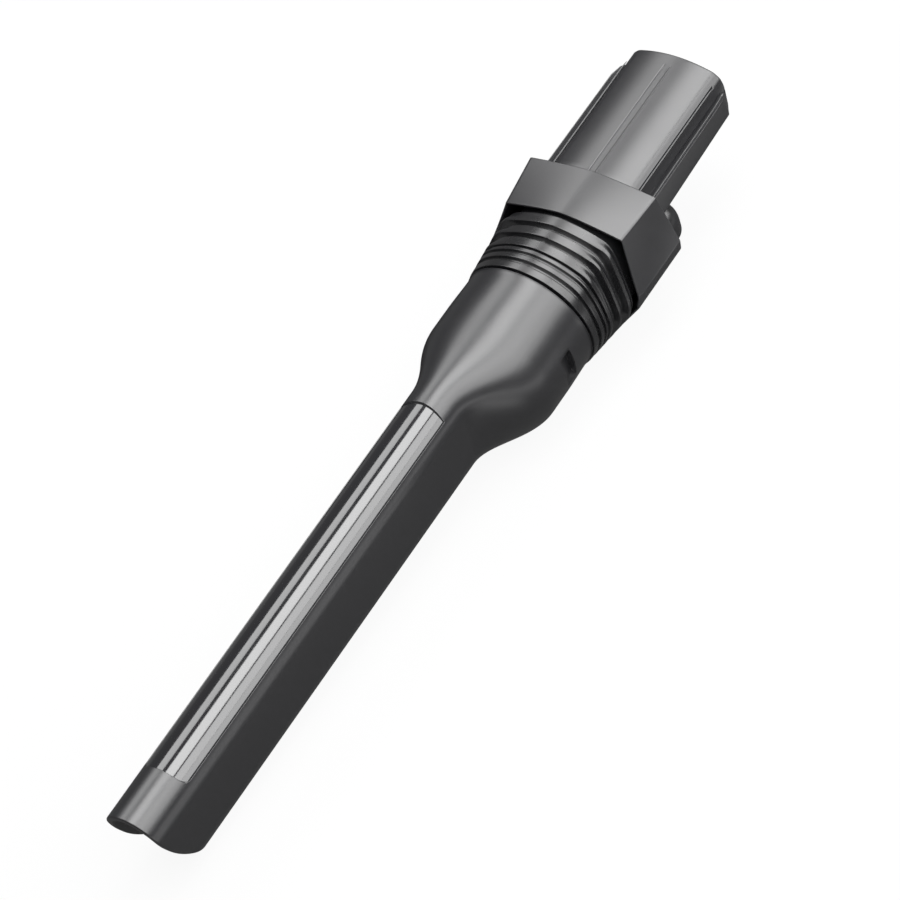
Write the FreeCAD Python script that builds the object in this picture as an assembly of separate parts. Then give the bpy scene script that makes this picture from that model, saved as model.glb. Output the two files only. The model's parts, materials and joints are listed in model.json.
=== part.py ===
import FreeCAD, Part

import math
import os

# Vacuum crevice tool. All lengths are in millimetres.
# X runs along the tool: the origin is on the neck's axis at the collar's shoulder, where the spigot begins,
# +X points to the spigot's free end and the mouth is at -X. +Z is up, towards the trim on the narrow edge.

# Lengths along X
spigot_length = 50.6
collar_length = 18.1
skirt_reach = 7.5
sleeve_length = 25.8
neck_length = 21.7
shoulder_length = 27.0
nozzle_length = 162.9
stem_insertion = 15.0

# Neck and nozzle
neck_radius = 21.8
neck_wall = 3.2
nozzle_width = 18.1
nozzle_height = 35.2
nozzle_wall = 2.0
side_crown_angle = 1.5
neck_corner_angle = 45.0
mouth_radius = 41.3
mouth_centre_rise = 1.4

# Catch notch on each side of the neck
notch_from_seam = 9.8
notch_length = 5.3
notch_shallow = 0.2
notch_deep = 1.3

# Trim strip
strip_start = 18.7
strip_gap_to_shoulder = 4.5
strip_half_angle = 58.0
strip_thickness = 0.8
strip_sunk = 0.15
strip_end_bulge = 1.3
strip_corner = 2.5
strip_clearance = 0.1

# Collar outline, half of it, at the shoulder
collar_crown_z = 20.4
collar_top_corner = (22.2, 17.0)
collar_side_corner = (27.4, -0.6)
collar_low_corner = (26.9, -4.4)
collar_foot_corner = (15.5, -21.8)
collar_top_taper = 0.10
collar_foot_taper = 0.06
collar_corner = 0.7
collar_wall = 2.2
skirt_top_z = 15.5
skirt_low_z = -3.0

# Stem and sleeve
stem_clearance = 0.15
stem_waist_radius = 17.4
stem_wall = 1.8
sleeve_clearance = 0.1
rib_step_in = 0.7
groove_depth = 1.6
fine_groove_depth = 0.9
rib_corner = 3.2
rib_fall = 0.2
sleeve_plug_length = 6.0
sleeve_plug_clearance = 0.2
rib_blend_rate = 1.05
groove_width = 1.5
narrow_groove_width = 0.9
groove_bottom_share = 0.65
# Grooves between the ribs: end, as a distance from the seam, depth and width. The last is at the collar.
groove_ends = [(5.1, groove_depth, groove_width),
               (8.1, fine_groove_depth, narrow_groove_width),
               (10.3, fine_groove_depth, narrow_groove_width),
               (15.5, groove_depth, groove_width),
               (20.6, groove_depth, groove_width)]

# Spigot
spigot_crown_z = 19.4
spigot_crown_radius = 22.7
spigot_half_width = 14.6
spigot_edge_drop = 1.2
gutter_z = 9.4
rail_half_width = 19.2
rail_top_z = 12.7
rail_foot_z = 4.2
rail_foot_step = 1.4
rail_taper_start = 8.0
rail_taper_angle = 26.5
belly_start_z = 1.5
spigot_foot_z = -9.5
spigot_wall = 2.0
spigot_end_chamfer = 0.6
fine_rib_width = 2.1
fine_rib_height = 0.45
fine_rib_end_gap = 4.8
edge_rib_width = 0.9

# Tongue under the spigot
tongue_length = 20.7
tongue_half_width = 14.0
tongue_top_z = -5.0
tongue_end_round = 7.0
tongue_foot_round = 2.5
tongue_wall = 2.4

# Values worked out from those above
seam_x = -(collar_length + sleeve_length)
neck_end_x = seam_x - neck_length
shoulder_end_x = neck_end_x - shoulder_length
tip_x = shoulder_end_x - nozzle_length
stem_end_x = seam_x - stem_insertion
skirt_end_x = -(collar_length + skirt_reach)
neck_bore_radius = neck_radius - neck_wall
stem_radius = neck_bore_radius - stem_clearance
stem_bore_radius = stem_waist_radius - stem_wall
sleeve_bore_radius = stem_waist_radius + sleeve_clearance
nozzle_half_width = nozzle_width / 2.0
nozzle_foot_z = neck_radius - nozzle_height
nozzle_arc_z = neck_radius - nozzle_half_width

# Cutters run past what they cut by overcut. The rest is how finely the lofts are made.
overcut = 5.0
shoulder_sections = 9
hollow_sections = 6
rounding_share = 0.45


def vec(x, y, z):
    return FreeCAD.Vector(x, y, z)


def smoothstep(t):
    return t * t * (3.0 - 2.0 * t)


def stadium_wire(x, roundness, inset):
    """Section of the nozzle body: two end arcs joined by two side arcs, all tangent.

    roundness runs from 0, the flattened nozzle, to 1, the round neck.
    """
    end_radius = nozzle_half_width + roundness * (neck_radius - nozzle_half_width) - inset
    foot_z = nozzle_foot_z + roundness * (-neck_radius - nozzle_foot_z) + inset
    top_centre = neck_radius - inset - end_radius
    foot_centre = foot_z + end_radius
    angle = math.radians(side_crown_angle + roundness * (neck_corner_angle - side_crown_angle))
    side_radius = end_radius + (top_centre - foot_centre) / (2.0 * math.sin(angle))
    middle_z = (top_centre + foot_centre) / 2.0
    side_y = end_radius * math.cos(angle) + side_radius * (1.0 - math.cos(angle))
    join_y = end_radius * math.cos(angle)
    join_top = top_centre + end_radius * math.sin(angle)
    join_foot = foot_centre - end_radius * math.sin(angle)
    top = vec(x, 0, top_centre + end_radius)
    foot = vec(x, 0, foot_z)
    right_top, right_foot = vec(x, join_y, join_top), vec(x, join_y, join_foot)
    left_top, left_foot = vec(x, -join_y, join_top), vec(x, -join_y, join_foot)
    arcs = [Part.Arc(left_top, top, right_top),
            Part.Arc(right_top, vec(x, side_y, middle_z), right_foot),
            Part.Arc(right_foot, foot, left_foot),
            Part.Arc(left_foot, vec(x, -side_y, middle_z), left_top)]
    return Part.Wire([arc.toShape() for arc in arcs])


def nozzle_form(wall_share, end_run, sections):
    """Outer form of the nozzle body at wall_share 0, its hollow at 1, run on past both ends by end_run.

    The shoulder passes through its sections smoothly outside, and in straight runs inside.
    """
    def section(x, roundness):
        inset = wall_share * (nozzle_wall + roundness * (neck_wall - nozzle_wall))
        return stadium_wire(x, roundness, inset)

    steps = [k / (sections - 1.0) for k in range(sections)]
    shoulder_wires = [section(shoulder_end_x + t * shoulder_length, smoothstep(t)) for t in steps]
    shoulder = Part.makeLoft(shoulder_wires, True, wall_share > 0.0)
    nozzle = Part.makeLoft([section(tip_x - end_run, 0.0), shoulder_wires[0]], True, True)
    neck = Part.makeLoft([shoulder_wires[-1], section(seam_x + end_run, 1.0)], True, True)
    return nozzle.fuse([shoulder, neck]).removeSplitter()


def mouth_cutter():
    """Everything in front of the round-nosed mouth."""
    centre_x = tip_x + mouth_radius
    centre_z = neck_radius + mouth_centre_rise
    span = neck_radius * 2.0
    block = Part.makeBox(mouth_radius + overcut, span, 2.0 * span, vec(tip_x - overcut, -span / 2.0, -span))
    nose = Part.makeCylinder(mouth_radius, span, vec(centre_x, -span / 2.0, centre_z), vec(0, 1, 0))
    return block.cut(nose)


def notch_cutter(side):
    """Ramped chordal notch in the neck, deeper towards the sleeve; side is 1 or -1."""
    near_x = seam_x - notch_from_seam
    far_x = near_x - notch_length
    deep_y = side * (neck_radius - notch_deep)
    shallow_y = side * (neck_radius - notch_shallow)
    out_y = side * (neck_radius + overcut)
    corners = [vec(near_x, deep_y, -neck_radius), vec(far_x, shallow_y, -neck_radius),
               vec(far_x, out_y, -neck_radius), vec(near_x, out_y, -neck_radius)]
    face = Part.Face(Part.makePolygon(corners + [corners[0]]))
    return face.extrude(vec(0, 0, 2.0 * neck_radius))


def strip_form(outer_radius, inner_radius, margin):
    """Sector of the nozzle's rounded top edge, cut to the strip's plan with a margin all round."""
    start_x = tip_x + strip_start - margin
    end_x = shoulder_end_x - strip_gap_to_shoulder - strip_end_bulge + margin
    half = nozzle_half_width * math.sin(math.radians(strip_half_angle)) + margin
    corner = strip_corner + margin
    low_z = nozzle_arc_z
    low = [vec(start_x + corner, -half, low_z), vec(end_x, -half, low_z)]
    high = [vec(end_x, half, low_z), vec(start_x + corner, half, low_z)]
    side = [vec(start_x, half - corner, low_z), vec(start_x, corner - half, low_z)]
    slant = corner * (1.0 - math.sqrt(0.5))
    edges = [Part.LineSegment(low[0], low[1]).toShape(),
             Part.Arc(low[1], vec(end_x + strip_end_bulge, 0, low_z), high[0]).toShape(),
             Part.LineSegment(high[0], high[1]).toShape(),
             Part.Arc(high[1], vec(start_x + slant, half - slant, low_z), side[0]).toShape(),
             Part.LineSegment(side[0], side[1]).toShape(),
             Part.Arc(side[1], vec(start_x + slant, slant - half, low_z), low[0]).toShape()]
    plan = Part.Face(Part.Wire(edges)).extrude(vec(0, 0, nozzle_half_width + overcut))
    run = end_x + strip_end_bulge - start_x + 2.0 * overcut
    base = vec(start_x - overcut, 0, nozzle_arc_z)
    outer = Part.makeCylinder(outer_radius, run, base, vec(1, 0, 0))
    inner = Part.makeCylinder(inner_radius, run, base, vec(1, 0, 0))
    return plan.common(outer.cut(inner))


def make_nozzle_body():
    body = nozzle_form(0.0, 0.0, shoulder_sections).cut(nozzle_form(1.0, overcut, hollow_sections))
    body = body.cut(mouth_cutter())
    floor_radius = nozzle_half_width - strip_sunk - strip_thickness - strip_clearance
    recess = strip_form(nozzle_half_width + overcut, floor_radius, strip_clearance)
    return body.cut([recess, notch_cutter(1), notch_cutter(-1)])


def make_trim_strip():
    outer_radius = nozzle_half_width - strip_sunk
    return strip_form(outer_radius, outer_radius - strip_thickness, 0.0)


def collar_corners(x, inset):
    """Corner points (y, z) of the collar's half outline at station x, moved in by inset."""
    top, foot = -x * collar_top_taper, -x * collar_foot_taper
    points = [(0.0, collar_crown_z),
              (collar_top_corner[0] - top, collar_top_corner[1] - top / 2.0),
              collar_side_corner,
              collar_low_corner,
              (collar_foot_corner[0] - foot, collar_foot_corner[1]),
              (0.0, collar_foot_corner[1])]
    lines = []
    for (y0, z0), (y1, z1) in zip(points, points[1:]):
        length = math.hypot(y1 - y0, z1 - z0)
        ny, nz = -(z1 - z0) / length, (y1 - y0) / length
        lines.append((ny, nz, ny * y0 + nz * z0 - inset))
    moved = [(0.0, points[0][1] - inset)]
    for (a, b, c), (d, e, f) in zip(lines, lines[1:]):
        det = a * e - b * d
        moved.append(((c * e - b * f) / det, (a * f - c * d) / det))
    moved.append((0.0, points[-1][1] + inset))
    return moved


def outline_poles(x, inset, corner, soft=False):
    """Half outline as quadratic curves: a list of (start, control, end) points (y, z), top to foot.

    A soft outline has one corner midway between the side corner and the low corner.
    """
    points = collar_corners(x, inset)
    if soft:
        side, low = points[2], points[3]
        points[2:4] = [((side[0] + low[0]) / 2.0, (side[1] + low[1]) / 2.0)]

    def towards(p, q):
        """Point on the edge from p to q where the rounding of p's corner ends."""
        length = math.hypot(q[0] - p[0], q[1] - p[1])
        share = min(corner, rounding_share * length) / length
        return (p[0] + (q[0] - p[0]) * share, p[1] + (q[1] - p[1]) * share)

    crown_control = (points[1][0] / 2.0, points[0][1])
    curves = []
    start, control = points[0], crown_control
    for k in range(1, len(points) - 1):
        before = towards(points[k], crown_control if k == 1 else points[k - 1])
        after = towards(points[k], points[k + 1])
        curves.append((start, control, before))
        curves.append((before, points[k], after))
        following = towards(points[k + 1], points[k]) if k < len(points) - 2 else points[k + 1]
        start = after
        control = ((after[0] + following[0]) / 2.0, (after[1] + following[1]) / 2.0)
    curves.append((start, control, points[-1]))
    return curves


def round_poles(radius, curves):
    """The same curves laid on a circle: each end point keeps its direction from the centre."""
    laid = []
    for start, _, end in curves:
        a, b = math.atan2(start[0], start[1]), math.atan2(end[0], end[1])
        middle, reach = (a + b) / 2.0, radius / math.cos((b - a) / 2.0)
        laid.append(((radius * math.sin(a), radius * math.cos(a)),
                     (reach * math.sin(middle), reach * math.cos(middle)),
                     (radius * math.sin(b), radius * math.cos(b))))
    return laid


def outline_wire(x_at, curves):
    """Closed wire from a half outline and its mirror image; x_at gives x for a height z."""
    def curve(poles, side):
        bezier = Part.BezierCurve()
        bezier.setPoles([vec(x_at(z), side * y, z) for y, z in poles])
        return bezier.toShape()

    right = [curve(poles, 1.0) for poles in curves]
    left = [curve(poles[::-1], -1.0) for poles in reversed(curves)]
    return Part.Wire(right + left)


def collar_solid(near_x, far_x, inset, corner):
    wires = [outline_wire(lambda z, x=x: x, outline_poles(x, inset, corner)) for x in (near_x, far_x)]
    return Part.makeLoft(wires, True, True)


def collar_edge_x(z):
    """Station of the collar's edge at height z: it slants forward down each side."""
    share = (skirt_top_z - z) / (skirt_top_z - skirt_low_z)
    return -collar_length - skirt_reach * min(1.0, max(0.0, share))


def skirt_cutter():
    """Everything in front of the collar's edge."""
    high = 2.0 * neck_radius
    edge = [(collar_edge_x(z), z) for z in (high, skirt_top_z, skirt_low_z, -high)]
    points = [vec(x, -high, z) for x, z in edge + [(seam_x, -high), (seam_x, high)]]
    return Part.Face(Part.makePolygon(points + [points[0]])).extrude(vec(0, 2.0 * high, 0))


def spigot_wire(x, inset):
    """Barrel of the spigot: crowned top, upright sides, round belly."""
    half = spigot_half_width - inset
    crown = spigot_crown_z - inset
    radius = spigot_crown_radius - inset
    edge_z = crown - radius + math.sqrt(radius ** 2 - (half - spigot_edge_drop / 2.0) ** 2)
    foot = spigot_foot_z + inset
    edge_y = half - spigot_edge_drop / 2.0
    side_z = edge_z - spigot_edge_drop
    belly_y = half * math.sqrt(0.5)
    belly_z = belly_start_z - (belly_start_z - foot) * math.sqrt(0.5)
    edges = [Part.Arc(vec(x, -edge_y, edge_z), vec(x, 0, crown), vec(x, edge_y, edge_z)),
             Part.LineSegment(vec(x, edge_y, edge_z), vec(x, half, side_z)),
             Part.LineSegment(vec(x, half, side_z), vec(x, half, belly_start_z)),
             Part.Arc(vec(x, half, belly_start_z), vec(x, belly_y, belly_z), vec(x, 0, foot)),
             Part.Arc(vec(x, 0, foot), vec(x, -belly_y, belly_z), vec(x, -half, belly_start_z)),
             Part.LineSegment(vec(x, -half, belly_start_z), vec(x, -half, side_z)),
             Part.LineSegment(vec(x, -half, side_z), vec(x, -edge_y, edge_z))]
    return Part.Wire([edge.toShape() for edge in edges])


def spigot_rail(side):
    """Side rail with a gutter on top; its free end tapers in."""
    inner = side * (spigot_half_width - spigot_wall / 2.0)
    wall = side * spigot_half_width
    outer = side * rail_half_width
    corners = [(inner, gutter_z), (wall, gutter_z), (outer, rail_top_z), (outer, rail_foot_z),
               (outer - side * rail_foot_step, belly_start_z), (inner, belly_start_z)]
    points = [vec(0, y, z) for y, z in corners]
    rail = Part.Face(Part.makePolygon(points + [points[0]])).extrude(vec(spigot_length, 0, 0))
    taper_x = spigot_length - rail_taper_start
    run = rail_taper_start + overcut
    drop = run * math.tan(math.radians(rail_taper_angle))
    wedge = [vec(taper_x, outer, -neck_radius), vec(taper_x + run, outer, -neck_radius),
             vec(taper_x + run, outer - side * drop, -neck_radius)]
    cutter = Part.Face(Part.makePolygon(wedge + [wedge[0]])).extrude(vec(0, 0, 2.0 * neck_radius))
    return rail.cut(cutter)


def fine_rib(y_centre, width, height):
    """Fine rib along the spigot's crown, with a ramp at its free end."""
    centre_z = spigot_crown_z - spigot_crown_radius
    top_radius = spigot_crown_radius + height
    end_x = spigot_length - fine_rib_end_gap
    reach = Part.makeCylinder(top_radius, end_x, vec(0, 0, centre_z), vec(1, 0, 0))
    corners = [vec(0, y_centre - width / 2.0, 0), vec(end_x - width, y_centre - width / 2.0, 0),
               vec(end_x, y_centre, 0), vec(end_x - width, y_centre + width / 2.0, 0),
               vec(0, y_centre + width / 2.0, 0)]
    low_z = centre_z + math.sqrt((top_radius - spigot_wall) ** 2 - y_centre ** 2)
    plan = Part.Face(Part.makePolygon(corners + [corners[0]]))
    plan.translate(vec(0, 0, low_z))
    return plan.extrude(vec(0, 0, spigot_wall * 2.0)).common(reach)


def tongue_block(inset):
    """Tongue below the spigot, rounded in plan; an inset gives the core that hollows it."""
    half = tongue_half_width - inset
    length = tongue_length - inset
    start = -collar_wall - (overcut if inset else 0.0)
    foot = collar_foot_corner[1] + inset
    top = tongue_top_z - inset * 2.0
    block = Part.makeBox(length - start, 2.0 * half, top - foot, vec(start, -half, foot))
    upright = [e for e in block.Edges if e.BoundBox.ZLength > tongue_wall and e.BoundBox.XMin > 0.0]
    return block.makeFillet(tongue_end_round - inset, upright)


def tongue_solid():
    block = tongue_block(0.0)
    foot = block.BoundBox.ZMin
    low = [e for e in block.Edges if e.BoundBox.ZMax < foot + 0.01 and e.BoundBox.XMax > 0.0]
    return block.makeFillet(tongue_foot_round, low)


def make_connector():
    collar = collar_solid(0.0, skirt_end_x, 0.0, collar_corner)
    collar = collar.cut(collar_solid(-collar_wall, skirt_end_x - overcut, collar_wall, collar_corner))
    collar = collar.cut(skirt_cutter())
    stem = Part.makeCylinder(stem_radius, stem_insertion, vec(stem_end_x, 0, 0), vec(1, 0, 0))
    waist = Part.makeCylinder(stem_waist_radius, -seam_x, vec(seam_x, 0, 0), vec(1, 0, 0))
    barrel = Part.makeLoft([spigot_wire(-collar_wall, 0.0),
                            spigot_wire(spigot_length - spigot_end_chamfer, 0.0),
                            spigot_wire(spigot_length, spigot_end_chamfer)], True, True)
    ribs = [fine_rib(0.0, fine_rib_width, fine_rib_height)]
    edge_y = spigot_half_width - spigot_edge_drop
    ribs += [fine_rib(side * edge_y, edge_rib_width, fine_rib_height / 2.0) for side in (1.0, -1.0)]
    rails = [spigot_rail(1.0), spigot_rail(-1.0)]
    body = collar.fuse([stem, waist, barrel, tongue_solid()] + rails + ribs)
    stem_bore = Part.makeCylinder(stem_bore_radius, -stem_end_x - collar_wall + overcut,
                                  vec(stem_end_x - overcut, 0, 0), vec(1, 0, 0))
    spigot_bore = Part.makeLoft([spigot_wire(-collar_wall - overcut, spigot_wall),
                                 spigot_wire(spigot_length + overcut, spigot_wall)], True, True)
    return body.cut([stem_bore, spigot_bore, tongue_block(tongue_wall)]).removeSplitter()


def sleeve_x(distance, z):
    """Station of a sleeve section at height z: the ribs fan out, so the last follows the collar's edge."""
    return seam_x + (collar_edge_x(z) - seam_x) * distance / sleeve_length


def sleeve_wire(distance, inset):
    """Sleeve section at a distance from the seam: round there, the collar's outline at the collar."""
    blend = min(1.0, rib_blend_rate * distance / sleeve_length)
    outline = outline_poles(-collar_length, rib_step_in + inset, rib_corner, soft=True)
    circle = round_poles(neck_radius + rib_step_in - inset, outline)

    def mix(p, q):
        return (p[0] + blend * (q[0] - p[0]), p[1] + blend * (q[1] - p[1]))

    curves = [tuple(mix(p, q) for p, q in zip(a, b)) for a, b in zip(circle, outline)]
    return outline_wire(lambda z: sleeve_x(distance, z), curves)


def rib_wires(start, end):
    """Outside of a rib from start to end, as distances from the seam: it falls a little towards the end."""
    return [sleeve_wire(start, 0.0), sleeve_wire(end, rib_fall)]


def make_ribbed_sleeve():
    """Ribs from the seam to the collar, then a plug seated inside the collar's skirts."""
    wires = [sleeve_wire(0.0, rib_step_in)]
    previous = rib_fall
    for end, depth, width in groove_ends:
        wires += rib_wires(previous, end - width)
        wires.append(sleeve_wire(end - width * (1.0 - groove_bottom_share), depth))
        previous = end
    wires += rib_wires(previous, sleeve_length - narrow_groove_width)
    plug = outline_poles(skirt_end_x, collar_wall + sleeve_plug_clearance, collar_corner, soft=True)
    wires += [outline_wire(lambda z: collar_edge_x(z) - narrow_groove_width / 2.0, plug),
              outline_wire(lambda z: sleeve_plug_length - collar_length, plug)]
    body = Part.makeLoft(wires, True, True)
    bore_start = vec(seam_x - overcut, 0, 0)
    bore = Part.makeCylinder(sleeve_bore_radius, sleeve_length * 2.0, bore_start, vec(1, 0, 0))
    return body.cut(bore)


parts = {
    "nozzle_body": make_nozzle_body(),
    "trim_strip": make_trim_strip(),
    "ribbed_sleeve": make_ribbed_sleeve(),
    "connector": make_connector(),
}

os.makedirs("parts", exist_ok=True)
for node, shape in parts.items():
    shape.exportStep("parts/" + node + ".step")
    print(node, shape.ShapeType, len(shape.Solids), shape.isValid(), round(shape.Volume), shape.BoundBox)
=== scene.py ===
# %% [markdown]
# A vacuum crevice tool: a flattened nozzle with a slanted mouth, a gloss trim strip let into its narrow
# edge, a round neck, a soft ribbed sleeve and a collar with an oval spigot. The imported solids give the
# sizes and places. Here each piece gets a fine surface with the real one's roundings, and its own finish.

# %% Load the frame
import json
import bmesh
import bpy
import numpy as np
from mathutils import Matrix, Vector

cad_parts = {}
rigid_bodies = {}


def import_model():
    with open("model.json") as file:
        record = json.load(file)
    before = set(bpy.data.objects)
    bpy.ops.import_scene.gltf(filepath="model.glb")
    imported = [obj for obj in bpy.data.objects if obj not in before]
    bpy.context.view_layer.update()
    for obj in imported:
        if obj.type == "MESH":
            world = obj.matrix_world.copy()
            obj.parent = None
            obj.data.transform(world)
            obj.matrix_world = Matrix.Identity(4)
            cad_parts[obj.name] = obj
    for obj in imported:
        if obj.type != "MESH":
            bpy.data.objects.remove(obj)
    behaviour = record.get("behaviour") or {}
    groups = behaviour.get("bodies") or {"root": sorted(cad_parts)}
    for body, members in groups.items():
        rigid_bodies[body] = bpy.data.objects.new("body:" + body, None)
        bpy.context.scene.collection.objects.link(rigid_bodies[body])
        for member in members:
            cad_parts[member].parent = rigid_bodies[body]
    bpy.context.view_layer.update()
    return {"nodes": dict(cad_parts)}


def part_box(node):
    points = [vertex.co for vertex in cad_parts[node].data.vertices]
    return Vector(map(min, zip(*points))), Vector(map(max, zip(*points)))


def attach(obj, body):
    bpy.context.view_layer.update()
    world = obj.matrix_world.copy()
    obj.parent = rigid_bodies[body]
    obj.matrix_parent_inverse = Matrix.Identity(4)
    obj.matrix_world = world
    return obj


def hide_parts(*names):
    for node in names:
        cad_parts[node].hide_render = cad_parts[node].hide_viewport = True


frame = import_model()
print("nodes:", sorted(frame["nodes"]))

# %% [markdown]
# The solids say where each piece starts and ends. Lengths are written in millimetres, as on a drawing of
# the part, and turned into metres only when a mesh is made.

# %% Places and sizes from the frame
MM = 0.001


def span(node):
    """Lowest and highest corner of a node, in millimetres."""
    low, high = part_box(node)
    return np.array(low) / MM, np.array(high) / MM


body_low, body_high = span("nozzle_body")
strip_low, strip_high = span("trim_strip")
sleeve_low, sleeve_high = span("ribbed_sleeve")
connector_low, connector_high = span("connector")

tip_x, seam_x = body_low[0], body_high[0]
neck_radius = body_high[1]
plug_end_x = sleeve_high[0]
stem_end_x, spigot_end_x = connector_low[0], connector_high[0]
foot_z = connector_low[2]
print("tip", tip_x.round(1), "seam", seam_x.round(1), "spigot end", spigot_end_x.round(1))

# %% [markdown]
# Every piece is a grid of points worked out with numpy. Rows run along the piece and columns run round it.
# A wall has an outside and an inside, so the rows of a hollow piece run out along one side and back along
# the other, and join up. A solid piece closes at both ends with a fan of triangles, and a pillow is pinched
# shut.

# %% From a grid of points to a closed mesh
merge_distance = 0.002


def piece(name, node, points, ends="joined"):
    """Closed smooth mesh from a (rows, columns, 3) grid in millimetres, in place of a node of the frame.

    A face joins each point to the next in its row and in its column. The ends are joined, last row to first,
    closed with fans, or pinched: then both end rows have no height and close as their doubles are merged.
    Doubles are merged first, and then all faces are turned outwards.
    """
    rows, columns = points.shape[:2]
    index = np.arange(rows * columns).reshape(rows, columns)
    near, far = (index, np.roll(index, -1, axis=0)) if ends == "joined" else (index[:-1], index[1:])
    quads = np.stack([near, far, np.roll(far, -1, axis=1), np.roll(near, -1, axis=1)], axis=-1)
    faces = quads.reshape(-1, 4).tolist()
    vertices = points.reshape(-1, 3)
    if ends == "fans":
        for row, centre in ((0, len(vertices)), (rows - 1, len(vertices) + 1)):
            ring = index[row]
            fan = np.stack([ring, np.roll(ring, -1), np.full(columns, centre)], axis=-1)
            faces += fan.tolist()
        vertices = np.concatenate([vertices, points[0].mean(0)[None], points[-1].mean(0)[None]])

    mesh = bpy.data.meshes.new(name)
    mesh.from_pydata((vertices * MM).tolist(), [], faces)
    work = bmesh.new()
    work.from_mesh(mesh)
    bmesh.ops.remove_doubles(work, verts=work.verts, dist=merge_distance * MM)
    bmesh.ops.recalc_face_normals(work, faces=work.faces)
    work.to_mesh(mesh)
    work.free()
    mesh.polygons.foreach_set("use_smooth", np.ones(len(mesh.polygons), bool))

    made = bpy.data.objects.new(name, mesh)
    bpy.context.scene.collection.objects.link(made)
    weighted = made.modifiers.new("flat_faces_stay_flat", "WEIGHTED_NORMAL")
    weighted.keep_sharp = True
    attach(made, "root")
    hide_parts(node)
    print(name, len(mesh.polygons), "faces")
    return made


# %% [markdown]
# ## Nozzle body
# One hollow moulding. A rounded box with its edges smoothed would come near it, but a formula keeps the
# wall even and each rounding exact. Its section is four arcs that meet without a corner: two end arcs and
# two flat side arcs. Along the shoulder the end arcs grow from half the nozzle's width to the neck's
# radius, so one formula gives the flattened nozzle, the shoulder and the round neck. Each arc is counted
# from -1 to 1, and the columns crowd where the strip's edge will lie on the top arc.

# %% Section of the nozzle body
nozzle_half_width = 9.05
nozzle_foot_z = -13.4
side_crown = np.radians(1.5)
neck_join = np.radians(45.0)

near_strip_edge = np.linspace(0.63, 0.69, 19)
cap_turn = np.unique(np.concatenate([np.linspace(-1.0, 1.0, 57), near_strip_edge, -near_strip_edge]))
side_turn = np.linspace(1.0, -1.0, 37)[1:-1]
column_up = np.repeat([1.0, 0.0, -1.0, 0.0], [len(cap_turn), len(side_turn)] * 2)
column_side = np.repeat([0.0, 1.0, 0.0, -1.0], [len(cap_turn), len(side_turn)] * 2)


def round_the_body(cap):
    """One turn of columns: top arc, a side, bottom arc and the other side, each by its share of the arc."""
    return np.concatenate([cap, side_turn, -cap, -side_turn])


column_turn = round_the_body(cap_turn)
even_turn = round_the_body(np.linspace(-1.0, 1.0, len(cap_turn)))


def body_section(roundness, inset):
    """Points (y, z) round the body; roundness 0 is the nozzle and 1 the neck, inset moves inwards.

    End arc: centre + radius (sin, cos) of its share of the turn. Side arc: a wide arc tangent to both.
    The columns crowd at the strip's edge on the nozzle and are even round the neck.
    """
    column = column_turn + roundness * (even_turn - column_turn)
    end_radius = nozzle_half_width + roundness * (neck_radius - nozzle_half_width)
    top = neck_radius - end_radius
    foot = nozzle_foot_z - roundness * (neck_radius + nozzle_foot_z) + end_radius
    join = side_crown + roundness * (neck_join - side_crown)
    radius = end_radius - inset
    side_radius = radius + (top - foot) / (2.0 * np.sin(join))
    turn, tilt = column * (np.pi / 2.0 - join), column * join
    centre = np.where(column_up > 0, top, foot)
    side_y = column_side * (radius * np.cos(join) + side_radius * (np.cos(tilt) - np.cos(join)))
    y = np.where(column_side == 0, radius * np.sin(turn), side_y)
    side_z = (top + foot) / 2.0 + side_radius * np.sin(tilt)
    z = np.where(column_side == 0, centre + column_up * radius * np.cos(turn), side_z)
    return y, z


for place, roundness in (("nozzle", 0.0), ("neck", 1.0)):
    y, z = body_section(roundness, 0.0)
    print(place, "section", (2.0 * y.max()).round(1), "by", (z.max() - z.min()).round(1), "mm")

# %% [markdown]
# The section turns from the nozzle's into the neck's along the shoulder, by a smooth step, which gives its
# S-shaped outline. The mouth is cut by a round nose, so its rim runs back further and further down the
# nozzle.

# %% Shoulder and mouth
shoulder_start_x, shoulder_end_x = -92.6, -65.6
mouth_radius = 41.3
mouth_centre_z = neck_radius + 1.4


def ease(t):
    """Smooth step: 0 below 0, 1 above 1, 3t^2 - 2t^3 between."""
    t = np.clip(t, 0.0, 1.0)
    return t * t * (3.0 - 2.0 * t)


def roundness_at(x):
    """Share of the neck in the section at station x: a smooth step along the shoulder."""
    return ease((x - shoulder_start_x) / (shoulder_end_x - shoulder_start_x))


def setback(z):
    """How far the mouth's rim lies behind the tip at height z: a circle's radius - sqrt(radius^2 - depth^2).

    Below the circle it is held at the radius. Only the neck and the shoulder reach there, and have no slant.
    """
    return mouth_radius - np.sqrt(np.maximum(0.0, mouth_radius ** 2 - (mouth_centre_z - z) ** 2))


print("the foot of the mouth lies", setback(nozzle_foot_z).round(1), "mm behind the tip")

# %% [markdown]
# The trim's outline, seen from above, is needed twice: for the recess in the body and for the trim itself.
# It starts straight across, with a round corner at each side, and ends at the neck in a shallow curve.

# %% Plan of the trim strip
strip_clearance, strip_side_clearance = 0.1, 0.03
strip_half_angle = 58.0
strip_half = nozzle_half_width * np.sin(np.radians(strip_half_angle))
strip_corner = 2.5
strip_bulge = 1.3
strip_start_x = strip_low[0] - strip_clearance
strip_end_x = strip_high[0] - strip_bulge + strip_clearance


def strip_start_at(y):
    """Start of the strip's plan: straight, but round by corner - sqrt(corner^2 - past^2) at each side."""
    past = np.clip(np.abs(y) - (strip_half - strip_corner), 0.0, strip_corner)
    return strip_start_x + strip_corner - np.sqrt(strip_corner ** 2 - past ** 2)


def strip_end_at(y):
    """End of the strip's plan at the neck: end + bulge * (1 - (y / half)^2), a shallow parabola."""
    return strip_end_x + strip_bulge * (1.0 - (y / strip_half) ** 2)


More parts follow.
